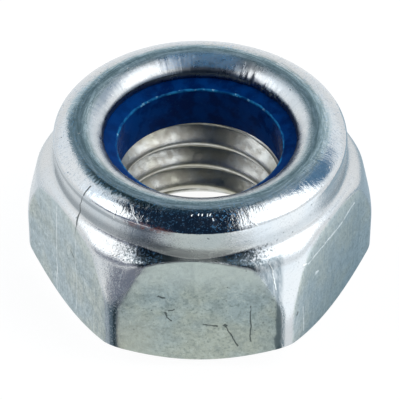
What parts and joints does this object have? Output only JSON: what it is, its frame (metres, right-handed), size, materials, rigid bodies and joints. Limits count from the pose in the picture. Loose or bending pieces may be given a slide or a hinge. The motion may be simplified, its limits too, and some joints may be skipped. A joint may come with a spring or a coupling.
{
  "type": "nylon insert lock nut",
  "caption": "Hexagon lock nut with a round collar crimped over a blue nylon ring, which grips a bolt's thread so that it can't shake loose.",
  "frame": {"origin": "on the thread's axis, in the plane of the bearing face that the nut stands on", "axes": "+Z along the thread's axis, from the bearing face towards the nylon end; a flat faces -Y, and two corners lie on the X axis"},
  "size_m": [0.0148, 0.013, 0.0078],
  "materials": {
    "zinc_plated_steel": "bright zinc plate, cool blue-grey, with fine drag lines, nicks and dull mottled flats",
    "blue_nylon": "moulded nylon, deep blue, semi-gloss"
  },
  "bodies": {
    "root": {"nut_body": "zinc_plated_steel", "nylon_insert": "blue_nylon"}
  },
  "joints": []
}
